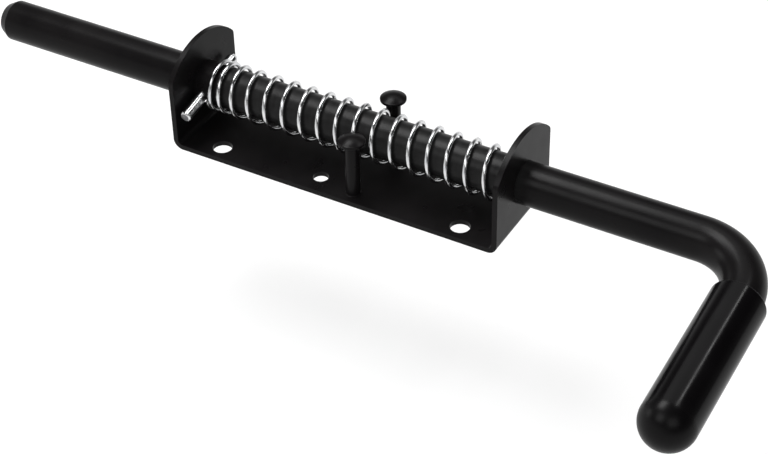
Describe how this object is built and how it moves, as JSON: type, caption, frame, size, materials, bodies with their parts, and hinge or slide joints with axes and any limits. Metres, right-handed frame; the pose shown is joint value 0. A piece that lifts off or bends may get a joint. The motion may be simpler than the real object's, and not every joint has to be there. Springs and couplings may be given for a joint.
{
  "type": "gate bolt",
  "caption": "Spring-loaded sliding gate bolt: a round bar bent into a sleeved handle, in a folded steel bracket with two hold-back studs.",
  "frame": {"origin": "centre of the bracket's underside, in the plane of its mounting face", "axes": "+X along the bar from the bolt's tip to the handle, +Y away from the side the handle lies on, +Z out of the mounting face"},
  "size_m": [0.3285, 0.1095, 0.039],
  "materials": {
    "black_coat": "semi-gloss black powder coat",
    "black_vinyl": "glossy black dip-moulded vinyl",
    "zinc": "bright zinc plate"
  },
  "bodies": {
    "frame": {"bracket": "black_coat", "front_stud": "black_coat", "rear_stud": "black_coat"},
    "spring_coil": {"spring": "zinc"},
    "bolt": {"bolt_rod": "black_coat", "handle_grip": "black_vinyl", "cross_pin": "zinc"}
  },
  "joints": [
    {"name": "bolt_turn", "type": "hinge", "parent": "frame", "child": "spring_coil", "pos_m": [0, 0, 0.0187], "axis": [1, 0, 0], "range_deg": [-240, 37]},
    {"name": "bolt_slide", "type": "slide", "parent": "spring_coil", "child": "bolt", "axis": [1, 0, 0], "range_m": [0, 0.064], "stiffness_N_per_m": 760, "springref_m": -0.02, "deforming": ["spring"]}
  ]
}
